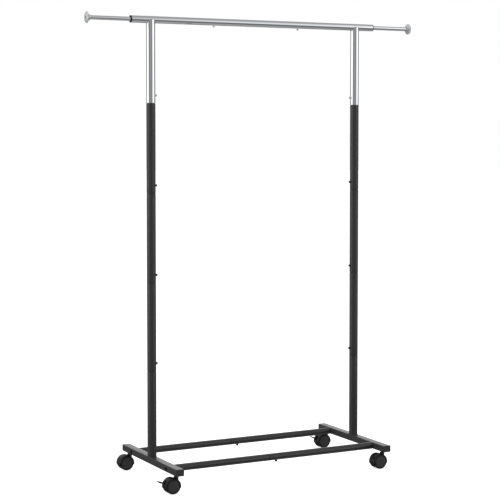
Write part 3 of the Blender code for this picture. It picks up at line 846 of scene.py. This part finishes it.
def stub_weld(radius, half_width, x, top):
    """Weld fillet round the stub's base, with the ripples that the torch leaves.

    At angle t its foot is at the smaller of r + w and the foot's edge, half_width / |cos t|, and never
    inside the tube. Ripples are 4% of w, one every 2 mm of the way round.
    """
    t = np.linspace(0, 2 * np.pi, 180, endpoint=False)
    bead = sizes().weld_bead * (1 + 0.04 * np.sin(45 * t))
    edge = (half_width - 0.3 * MM) / np.maximum(np.abs(np.cos(t)), 1e-6)
    foot = np.maximum(np.minimum(radius + 1.5 * bead, edge), radius - 0.3 * MM)
    rise = np.clip((foot - radius) / sizes().weld_bead, 0, 1) * bead
    s = np.linspace(0, 1, 6)[:, None]
    r = foot + (radius - 0.2 * MM - foot) * s
    h = top - 0.1 * MM + (rise + 0.1 * MM) * np.sin(s * np.pi / 2)
    rows = np.stack([r * np.cos(t) + x, r * np.sin(t), h], axis=-1)
    base = np.stack([r[-1] * np.cos(t) + x, r[-1] * np.sin(t), 0 * t + top - 0.1 * MM], axis=-1)
    return grid_part(np.concatenate([rows, base[None]]), close_rows=True)


def make_plug(side, end, y_sign):
    """Foot end plug: nested rounded rectangles from the recessed panel over the lip to the tail in the tube."""
    node = f"foot_plug_{side}_{end}"
    low, high, _ = node_box(node)
    half_width, half_height = (high[0] - low[0]) / 2, (high[2] - low[2]) / 2
    depth = high[1] - low[1]
    edge, recess, wall = sizes().plug_edge, sizes().plug_recess, 1.8 * MM
    outline = eased(
        [
            (8.0 * MM, -depth, 0),
            (wall, -depth, 0.6 * MM),
            (wall, -2.0 * MM, 0.1 * MM),
            (0, -2.0 * MM, 0.15 * MM),
            (0, 0, edge),
            (2.6 * MM, 0, 0.3 * MM),
            (3.2 * MM, -recess, 0.3 * MM),
            (8.0 * MM, -recess, 0),
        ]
    )
    rows = []
    for inset, height in outline:
        loop = rounded_box_loop(half_width - inset, half_height - inset, max(1.8 * MM - inset, 0.4 * MM))
        rows.append(np.stack([loop[:, 0], loop[:, 1], np.full(len(loop), height)], axis=1))
    rows = np.stack(rows)
    # Each end closes onto the middle line of its last rectangle.
    ends = [rows[i].copy() for i in (0, -1)]
    for closing in ends:
        closing[:, 1] = 0
        closing[:, 0] = np.clip(closing[:, 0], -(half_width - half_height), half_width - half_height)
    rows = np.concatenate([ends[0][None], rows, ends[1][None]])
    part = moved(grid_part(rows), signed("y", y_sign), end_of(node, "y", y_sign))
    finish(f"plug_{side}_{end}", node, [part], "cap")


def make_bolt(side, sign, end):
    """Button-head bolt with a hex socket.

    The socket's wall at angle t is a / cos(t'), where a is half the width across flats and t' is the
    angle from the nearest flat's middle.
    """
    node = f"bar_bolt_{side}_{end}"
    low, high, _ = node_box(node)
    head, reach = (high[1] - low[1]) / 2, high[0] - low[0]
    shank, tall = 3.0 * MM, 2.8 * MM
    outline = eased(
        [
            (0, tall - reach, 0),
            (shank, tall - reach, 0.5 * MM),
            (shank, 0, 0.05 * MM),
            (head, 0, 0.15 * MM),
            (head, tall * 0.35, 0.6 * MM),
            (head * 0.70, tall, 0.9 * MM),
            (2.4 * MM, tall, 0.2 * MM),
        ]
    )
    columns = 48
    part = turned(outline, columns)
    t = np.linspace(0, 2 * np.pi, columns, endpoint=False)
    flat = 1.9 * MM / np.cos((t + np.pi / 6) % (np.pi / 3) - np.pi / 6)
    radii = np.stack([0 * t + outline[-1][0], flat, flat, 0 * t])
    heights = np.stack([0 * t + outline[-1][1], 0 * t + tall - 0.15 * MM, 0 * t + 1.1 * MM, 0 * t + 1.1 * MM])
    socket = grid_part(np.stack([radii * np.cos(t), radii * np.sin(t), heights], axis=-1))
    part = moved(joined([part, socket]), signed("x", sign), end_of(node, "x", sign) - (sign * tall, 0, 0))
    finish(f"bolt_{side}_{end}", node, [part], "oxide")


class RACK_OT_crossbars(bpy.types.Operator):
    """Make the two crossbars, each of two plugged halves, and their snap buttons"""

    bl_idname = "rack.crossbars"
    bl_label = "Crossbars"

    def execute(self, context):
        for end in ENDS:
            make_bar(end)
            make_button(f"bar_button_{end}", "-z")
        return {"FINISHED"}


def make_bar(end):
    """Left half with its male end, and the right half that it plugs into. The button is underneath."""
    left_low, left_high, middle = node_box(f"crossbar_{end}_left")
    right_low, right_high, _ = node_box(f"crossbar_{end}_right")
    _, _, button = node_box(f"bar_button_{end}")
    radius = (left_high[1] - left_low[1]) / 2
    hole = [(button[0], button_hole())]
    left_tube = plug_in_tube(radius, BAR_MALE, left_low[0], right_low[0] - TUBE_GAP, left_high[0], hole)
    outer = plain_ends(radius, right_low[0], right_high[0], sizes().tube_edge)
    inner = plain_ends(radius - sizes().tube_wall, right_low[0], right_high[0], 0.0)
    for side, tube in (("left", left_tube), ("right", sleeve(outer, inner, hole))):
        part = moved(tube, "+x", (0, middle[1], middle[2]))
        finish(f"bar_{end}_{side}", f"crossbar_{end}_{side}", [part], "coat")


class RACK_OT_casters(bpy.types.Operator):
    """Make the four casters: stems, hoods, wheels and the two brake levers"""

    bl_idname = "rack.casters"
    bl_label = "Casters"

    def execute(self, context):
        for side in SIDES:
            for end in ENDS:
                braked = f"brake_lever_{side}_{end}" in frame["nodes"]
                make_stem(side, end)
                make_hood(side, end, braked)
                for face, direction in FACES.items():
                    make_wheel(side, end, face, direction)
                if braked:
                    make_lever(side, end)
        return {"FINISHED"}


def make_stem(side, end):
    """Turned pin with a pressed collar under the foot."""
    node = f"caster_stem_{side}_{end}"
    low, high, middle = node_box(node)
    collar, pin = (high[0] - low[0]) / 2, 4.0 * MM
    foot_bottom = node_box(f"foot_plug_{side}_{end}")[0][2]
    hood_top = node_box(f"caster_hood_{side}_{end}")[1][2]
    outline = eased(
        [
            (0, low[2], 0),
            (pin, low[2], 0.3 * MM),
            (pin, hood_top + 0.3 * MM, 0.1 * MM),
            (collar, hood_top + 0.3 * MM, 0.3 * MM),
            (collar, foot_bottom - 1.6 * MM, 0.4 * MM),
            (collar + 1.6 * MM, foot_bottom - 1.2 * MM, 0.3 * MM),
            (collar + 1.6 * MM, foot_bottom - 0.1 * MM, 0.2 * MM),
            (pin, foot_bottom - 0.1 * MM, 0.1 * MM),
            (pin, high[2], 0.6 * MM),
            (0, high[2], 0),
        ]
    )
    part = moved(turned(outline, 40), "+z", (middle[0], middle[1], 0))
    finish(f"stem_{side}_{end}", node, [part], "oxide")


# Where the hood starts and stops round the axle, and the window for the brake, from +X upwards.
HOOD_SPAN = (math.radians(-14), math.radians(196))
WINDOW_SPAN = (math.radians(136), math.radians(169))
COVER_HALF = 17.6 * MM
WEB_HALF = 4.2 * MM
COVER_RADIUS = 27.2 * MM


def arched(section, start, stop, centre, steps):
    """Closed section (y, r) carried round the axle: (centre x + r cos a, y, centre z + r sin a).

    Each end is closed by a fan onto the section's mean point.
    """
    a = np.linspace(start, stop, steps)[:, None]
    y, r = section[:, 0] + 0 * a, section[:, 1] + 0 * a
    return capped(np.stack([centre[0] + r * np.cos(a), centre[1] + y, centre[2] + r * np.sin(a)], axis=-1))


def capped(rows):
    """A swept closed section with both ends closed by a fan onto the section's mean point."""
    first, last = (np.broadcast_to(rows[i].mean(axis=0), rows[i].shape) for i in (0, -1))
    return grid_part(np.concatenate([first[None], rows, last[None]]))


def drum(radius, half, edge, columns=40):
    """Closed round drum about the origin, with its ends' edges eased."""
    return turned(eased([(0, -half, 0), (radius, -half, edge), (radius, half, edge), (0, half, 0)]), columns)


def cover_section(inner, low_y, high_y, crown, web_depth=0.0):
    """Section of the hood's cover between two widths, with its crown falling by crown (y / half)^2.

    With a web depth, the middle goes down to that radius as a rib.
    """
    edge = 0.5 * MM
    y = np.linspace(low_y + edge, high_y - edge, 15)
    top = np.stack([y, COVER_RADIUS - crown * (y / COVER_HALF) ** 2], axis=1)
    right = [(high_y, top[-1, 1] - 0.4 * MM), (high_y, inner + 0.15 * MM), (high_y - 0.3 * MM, inner)]
    left = [(low_y + 0.3 * MM, inner), (low_y, inner + 0.15 * MM), (low_y, top[0, 1] - 0.4 * MM)]
    if not web_depth:
        return np.concatenate([top, right, left])
    rib = [(WEB_HALF + 0.5 * MM, inner), (WEB_HALF, inner - 0.5 * MM), (WEB_HALF, web_depth)]
    rib += [(-y, r) for y, r in reversed(rib)]
    return np.concatenate([top, right, rib, left])


def make_hood(side, end, braked):
    """Caster hood: an arched cover over both wheels with a rib between them, a hub round the axle and a boss."""
    tag = f"{side}_{end}"
    node = f"caster_hood_{tag}"
    _, high, _ = node_box(node)
    _, wheel_high, wheel = node_box(f"wheel_{tag}_front")
    stem = node_box(f"caster_stem_{tag}")[2]
    centre = np.array([wheel[0], stem[1], wheel[2]])
    inner = wheel_high[0] - wheel[0] + 0.8 * MM
    crown = sizes().hood_crown
    start, stop = HOOD_SPAN
    full = cover_section(inner, -COVER_HALF, COVER_HALF, crown, 9.0 * MM)
    parts = []
    if braked:
        slot_half = 4.8 * MM
        parts.append(arched(full, start, WINDOW_SPAN[0], centre, 44))
        parts.append(arched(full, WINDOW_SPAN[1], stop, centre, 9))
        for low_y, high_y in ((-COVER_HALF, -slot_half), (slot_half, COVER_HALF)):
            strip = cover_section(inner, low_y, high_y, crown)
            parts.append(arched(strip, *WINDOW_SPAN, centre, 12))
    else:
        parts.append(arched(full, start, stop, centre, 62))
    hub, axle = drum(10 * MM, WEB_HALF, 0.6 * MM, columns=48), drum(4 * MM, 13 * MM, 0.3 * MM)
    parts += [moved(hub, "+y", centre), moved(axle, "+y", centre), hood_boss(stem, centre, high[2])]
    finish(f"hood_{tag}", node, [outward(part) for part in parts], "abs")


def outward(part):
    """Turns a closed part's faces outwards if its signed volume, the sum of a . (b x c) over its faces, is negative."""
    points, faces = part
    a, b, c, d = (points[faces[:, k]] for k in range(4))
    volume = (a * np.cross(b, c)).sum() + (a * np.cross(c, d)).sum()
    return part if volume > 0 else flipped(part)


def hood_boss(stem, centre, top):
    """Round boss for the stem. Its skirt flares and ends inside the cover, at sqrt(R^2 - x^2) above the axle."""
    t = np.linspace(0, 2 * np.pi, 56, endpoint=False)
    flare, neck, bore = 9.6 * MM, 7.8 * MM, 4.4 * MM
    sink = COVER_RADIUS - 0.8 * MM
    rows_r = np.array([flare, flare - 0.7 * MM, neck + 0.35 * MM, neck, neck])
    rise = np.array([0.0, 0.9 * MM, 2.2 * MM, 3.6 * MM])
    x = stem[0] - centre[0] + rows_r[:, None] * np.cos(t)
    skirt = np.sqrt(np.maximum(sink**2 - x**2, 1e-8))
    skirt[1:4] += rise[1:, None]
    skirt = np.minimum(skirt, top - centre[2] - 1.2 * MM)
    skirt[4] = top - centre[2] - 0.7 * MM
    z = np.concatenate([skirt, [0 * t + top - centre[2], 0 * t + top - centre[2], 0 * t + top - centre[2] - 6 * MM]])
    r = np.concatenate([rows_r, [neck - 0.7 * MM, bore, bore]])[:, None] + 0 * t
    r = np.concatenate([r, 0 * r[:1]])
    z = np.concatenate([z, z[-1:]])
    points = np.stack([stem[0] + r * np.cos(t), stem[1] + r * np.sin(t), centre[2] + z], axis=-1)
    bottom = points[:1].copy()
    bottom[..., :2] = stem[:2]
    bottom[..., 2] = centre[2] + skirt[0].mean()
    return grid_part(np.concatenate([bottom, points]))


def make_lever(side, end):
    """Brake lever: a round hub, and an arm that widens into a ribbed pedal.

    Along s the section is a rounded rectangle of width w(s) and thickness h(s). Its middle line leaves
    the hub at the lever's rest tilt and curls up slightly at the tip. The pedal's top has ribs of height
    a |sin(pi n s)|.
    """
    node = f"brake_lever_{side}_{end}"
    low, high, _ = node_box(node)
    pivot = np.array(JOINT_AT[f"brake_press_{side}_{end}"])
    reach = pivot[0] - low[0]
    half_hub, half_pedal = 3.4 * MM, (high[1] - low[1]) / 2
    tilt = math.radians(12)
    s = np.linspace(0, 1, 70)
    widen = np.clip((s - 0.42) / 0.14, 0, 1)
    half = half_hub - 0.4 * MM + (half_pedal - half_hub + 0.4 * MM) * widen**2 * (3 - 2 * widen)
    half = half * np.sqrt(1 - np.clip((s - 0.93) / 0.07, 0, 1) ** 2 * 0.35)
    thick = (1.35 + 0.65 * widen) * MM * np.sqrt(1 - np.clip((s - 0.95) / 0.05, 0, 1) ** 2 * 0.8)
    path = s * reach / math.cos(tilt) * 0.99
    curl = 1.4 * MM * np.clip((s - 0.6) / 0.4, 0, 1) ** 2
    loop = rounded_box_loop(1.0, 1.0, 0.45, steps=6)
    ribs = sizes().pedal_rib * np.abs(np.sin(np.pi * 7 * np.clip((s - 0.60) / 0.34, 0, 1)))
    squeeze = np.minimum(1, 1.2 * MM / half)[:, None]
    across = np.sign(loop[:, 0]) * (half[:, None] - (1 - np.abs(loop[:, 0])) * half[:, None] * squeeze * 2)
    up = thick[:, None] * loop[:, 1] + ribs[:, None] * (loop[:, 1] > 0.95) * (np.abs(loop[:, 0]) < 0.999)
    along = -(path[:, None] * math.cos(tilt)) + 0 * up + up * math.sin(tilt)
    height = path[:, None] * math.sin(tilt) + curl[:, None] + up * math.cos(tilt)
    rows = np.stack([pivot[0] + along, pivot[1] + across, pivot[2] + height], axis=-1)
    parts = [moved(drum(3.0 * MM, half_hub, 0.3 * MM), "+y", pivot), capped(rows)]
    finish(f"lever_{side}_{end}", node, [outward(part) for part in parts], "abs")


def make_wheel(side, end, face, direction):
    """Turned wheel: a tyre with a slightly crowned tread, and a wide, faintly domed cap set in its face."""
    node = f"wheel_{side}_{end}_{face}"
    low, high, _ = node_box(node)
    radius, width = (high[0] - low[0]) / 2, high[1] - low[1]
    lip, cap = sizes().wheel_lip, sizes().wheel_cap
    tread = np.linspace(-1, 1, 7)[1:-1]
    crown = np.stack([radius - 0.12 * MM * tread**2, width / 2 * (1 + 0.62 * tread)], axis=1)
    seat, bore, bore_end = width - 2.2 * MM, 4.1 * MM, 7.4 * MM
    tyre = np.concatenate(
        [
            [[0, bore_end]],
            eased(
                [
                    (bore, bore_end, 0),
                    (bore, 0, 0.3 * MM),
                    (radius - 0.5 * MM, 0, 1.2 * MM),
                    (radius - 0.12 * MM, width * 0.19, 0.6 * MM),
                ]
            ),
            crown,
            eased(
                [
                    (radius - 0.12 * MM, width * 0.81, 0.4 * MM),
                    (radius - 1.2 * MM, width - 0.5 * MM, lip),
                    (cap + 1.3 * MM, width - 0.8 * MM, 0.4 * MM),
                    (cap + 0.5 * MM, seat, 0.3 * MM),
                    (0, seat, 0),
                ]
            ),
        ]
    )
    spread = np.linspace(cap - 0.7 * MM, 0, 12)
    dome = width - 0.35 * MM * (spread / cap) ** 2
    lid = np.concatenate(
        [
            eased(
                [
                    (0, seat + 0.05 * MM, 0),
                    (cap, seat + 0.05 * MM, 0.1 * MM),
                    (cap, dome[0] - 0.3 * MM, 0.3 * MM),
                    (spread[0], dome[0], 0.2 * MM),
                ]
            ),
            np.stack([spread[1:], dome[1:]], axis=1),
        ]
    )
    axis, place = signed("y", direction), end_of(node, "y", -direction)
    finish(f"tyre_{side}_{end}_{face}", node, [moved(turned(tyre, 72), axis, place)], "nylon")
    finish(f"cap_{side}_{end}_{face}", node, [moved(turned(lid, 72), axis, place)], "cap")


class RACK_OT_stage(bpy.types.Operator):
    """Make the studio: floor, soft lights, surrounding light and the camera"""

    bl_idname = "rack.stage"
    bl_label = "Studio"

    def execute(self, context):
        stage = context.scene.rack_stage
        make_floor()
        make_surround(stage)
        make_light("top_softbox", stage.top, (0, 0, 4.5), (5.0, 4.0))
        make_light("side_softbox", stage.side, (-4.6, -0.6, 1.3), (1.6, 3.0))
        make_camera(stage)
        return {"FINISHED"}


def make_floor():
    """Round floor of matt paper, at radius r and angle t: (r cos t, r sin t).

    Its faint glow stands for the light that a back-lit studio sweep lets through.
    """
    t = np.linspace(0, 2 * np.pi, 96, endpoint=False)
    radii = np.array([0, 2, 6, 15, 40])[:, None]
    rows = np.stack([radii * np.cos(t), radii * np.sin(t), 0 * radii * t - 0.05 * MM], axis=-1)
    material, tree, shader, place = new_finish("matt_studio_paper")
    paper = add_node(tree, "TexNoise", {"Vector": place, "Scale": 1 / (12 * MM), "Detail": 2.0})
    pale = bpy.context.scene.rack_colours.floor
    looks = {
        "Roughness": 0.9,
        "Base Color": add_node(tree, "ValToRGB", {"Fac": paper}, ((0, toned(pale, 0.985)), (1, pale))),
        "Emission Color": (1, 1, 1, 1),
        "Emission Strength": 0.72,
    }
    feed(tree, shader, looks)
    mesh = mesh_of("studio_floor", joined([flipped(grid_part(rows))]), material)
    floor = bpy.data.objects.new("studio_floor", mesh)
    floor.visible_glossy = floor.visible_diffuse = False
    bpy.context.scene.collection.objects.link(floor)


# The room's light by bearing, in degrees from the camera's own side: two softboxes, a gap of dark
# wall beyond each, and the pale sweep behind the rack.
BEARINGS = (
    (-180, 1.5), (-165, 0.8), (-150, 0.30), (-125, 0.20), (-108, 0.45), (-97, 1.2), (-80, 1.8), (-64, 1.6),
    (-50, 0.80), (-30, 0.12), (-10, 0.30), (0, 0.36), (10, 0.30), (28, 0.17), (42, 0.50), (52, 0.92),
    (62, 1.15), (72, 1.9), (90, 1.1), (105, 0.30), (125, 0.18), (150, 0.30), (165, 0.8), (180, 1.5),
)
# Light by height, in degrees above the horizon: what every bearing has, and the share of BEARINGS.
HEIGHTS = (
    (-90, 0.58, 0.0), (-60, 0.44, 0.0), (-44, 0.24, 0.0), (-30, 0.13, 0.0), (-17, 0.12, 0.05),
    (-8, 0.08, 0.40), (-2, 0.05, 0.92), (5, 0.05, 1.0), (13, 0.10, 0.85), (25, 0.32, 0.45),
    (40, 0.44, 0.12), (54, 0.42, 0.0), (90, 0.40, 0.0),
)


def greys(stops, turn):
    """Ramp stops of (angle, level) pairs, with the angle as a share of a turn from its lowest value."""
    return [(angle / turn + 0.5, (level,) * 3) for angle, level in stops]


def make_surround(stage):
    """Studio room: light that changes with height and bearing, and a white background behind the rack."""
    world = bpy.data.worlds.new("studio_room")
    world.use_nodes = True
    tree = world.node_tree
    tree.nodes.clear()
    place = tree.nodes.new("ShaderNodeTexCoord").outputs["Generated"]
    split = tree.nodes.new("ShaderNodeSeparateXYZ")
    feed(tree, split, {0: place})
    x, y, z = split.outputs
    back = add_node(tree, "Math", {0: y, 1: -1.0}, operation="MULTIPLY")
    bearing = add_node(tree, "Math", {0: x, 1: back}, operation="ARCTAN2")
    own_side = {0: bearing, 1: 0.5 / math.pi, 2: 0.5 + stage.heading / (2 * math.pi)}
    turns = add_node(tree, "Math", own_side, operation="MULTIPLY_ADD")
    around = add_node(tree, "Math", {0: turns}, operation="FRACT")
    height = add_node(tree, "Math", {0: z}, operation="ARCSINE")
    up = add_node(tree, "Math", {0: height, 1: 1 / math.pi, 2: 0.5}, operation="MULTIPLY_ADD")
    shares = greys([(angle, part) for angle, _, part in HEIGHTS], 180)
    floors = greys([(angle, level) for angle, level, _ in HEIGHTS], 180)
    ramps = {
        0: add_node(tree, "ValToRGB", {"Fac": around}, greys(BEARINGS, 360), blend="EASE"),
        1: add_node(tree, "ValToRGB", {"Fac": up}, shares, blend="EASE"),
        2: add_node(tree, "ValToRGB", {"Fac": up}, floors, blend="EASE"),
    }
    light = add_node(tree, "VectorMath", ramps, operation="MULTIPLY_ADD")
    room = add_node(tree, "Background", {"Color": light, "Strength": stage.room})
    white = add_node(tree, "Background", {"Color": (1, 1, 1, 1), "Strength": 1.0})
    seen = tree.nodes.new("ShaderNodeLightPath").outputs["Is Camera Ray"]
    mix = add_node(tree, "MixShader", {0: seen, 1: room, 2: white})
    feed(tree, tree.nodes.new("ShaderNodeOutputWorld"), {"Surface": mix})
    bpy.context.scene.world = world
    bpy.context.scene.view_settings.view_transform = "Standard"


def make_light(name, power, place, size):
    """Soft light aimed at the rack's middle. It lights matt faces; bright ones mirror the room instead."""
    lamp = bpy.data.lights.new(name, "AREA")
    lamp.shape = "RECTANGLE"
    lamp.size, lamp.size_y = size
    lamp.energy = power
    light = bpy.data.objects.new(name, lamp)
    light.location = place
    aim = Vector((0, 0, 0.8)) - Vector(place)
    light.rotation_euler = aim.to_track_quat("-Z", "Y").to_euler()
    light.visible_camera = light.visible_glossy = False
    bpy.context.scene.collection.objects.link(light)


def make_camera(stage):
    """Camera with a long lens, shifted down a little so that the posts stay nearly upright."""
    camera = bpy.data.cameras.new("studio_camera")
    camera.lens = stage.lens
    camera.shift_y = stage.rise
    camera.clip_end = 200
    eye = bpy.data.objects.new("studio_camera", camera)
    eye.location = stage.eye
    eye.rotation_euler = (math.pi / 2 - stage.dip, 0, -stage.heading)
    bpy.context.scene.collection.objects.link(eye)
    bpy.context.scene.camera = eye


OPERATORS = (
    RACK_OT_stage,
    RACK_OT_rail,
    RACK_OT_rods,
    RACK_OT_posts,
    RACK_OT_feet,
    RACK_OT_crossbars,
    RACK_OT_casters,
)


class RACK_PT_panel(bpy.types.Panel):
    """Sidebar panel that lists the makers and the sizes and colours that they use"""

    bl_idname = "RACK_PT_panel"
    bl_label = "Rolling clothes rack"
    bl_space_type = "VIEW_3D"
    bl_region_type = "UI"
    bl_category = "Rack"

    def draw(self, context):
        for operator in OPERATORS:
            self.layout.operator(operator.bl_idname)
        for group in (context.scene.rack_sizes, context.scene.rack_colours, context.scene.rack_stage):
            box = self.layout.box()
            for name in group.__annotations__:
                box.prop(group, name)


GROUPS = {"rack_sizes": RackSizes, "rack_colours": RackColours, "rack_stage": RackStage}


def register():
    for item in (*GROUPS.values(), *OPERATORS, RACK_PT_panel):
        bpy.utils.register_class(item)
    for name, group in GROUPS.items():
        setattr(bpy.types.Scene, name, bpy.props.PointerProperty(type=group))


def unregister():
    for name in GROUPS:
        delattr(bpy.types.Scene, name)
    for item in (RACK_PT_panel, *reversed(OPERATORS), *GROUPS.values()):
        bpy.utils.unregister_class(item)


def main():
    register()
    bpy.ops.rack.stage()
    bpy.ops.rack.rail()
    bpy.ops.rack.rods()
    bpy.ops.rack.posts()
    bpy.ops.rack.feet()
    bpy.ops.rack.crossbars()
    bpy.ops.rack.casters()


if __name__ == "__main__":
    main()
